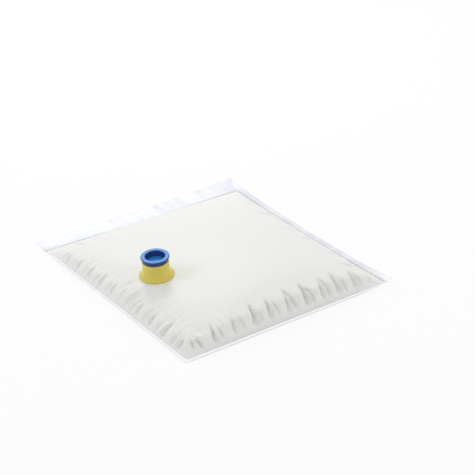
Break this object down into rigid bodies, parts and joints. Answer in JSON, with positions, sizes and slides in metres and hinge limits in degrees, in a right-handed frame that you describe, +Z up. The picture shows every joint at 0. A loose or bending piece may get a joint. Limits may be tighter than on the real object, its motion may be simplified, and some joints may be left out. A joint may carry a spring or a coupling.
{
  "type": "bag-in-box liquid bag",
  "caption": "Flat pillow bag of clear film filled with white liquid, welded all round with narrow fins, with a flared spout and a press-in cap on top.",
  "frame": {"origin": "middle of the underside of the bag's outline, on the surface that it lies on", "axes": "+Z up; +Y along the bag towards its wide clear end fin; +X across it, away from the side that the spout is near"},
  "size_m": [0.335, 0.37, 0.0619],
  "materials": {
    "film_and_liquid": "clear glossy film over opaque white liquid, clear fins",
    "spout_plastic": "satin, slightly translucent yellow",
    "cap_plastic": "semi-gloss blue"
  },
  "bodies": {
    "bag": {"filled_bag": "film_and_liquid", "spout": "spout_plastic"},
    "cap": {"cap": "cap_plastic"}
  },
  "joints": [
    {"name": "cap_pull", "type": "slide", "parent": "bag", "child": "cap", "axis": [-0.0802, 0, 0.9968], "range_m": [0, 0.012]}
  ]
}
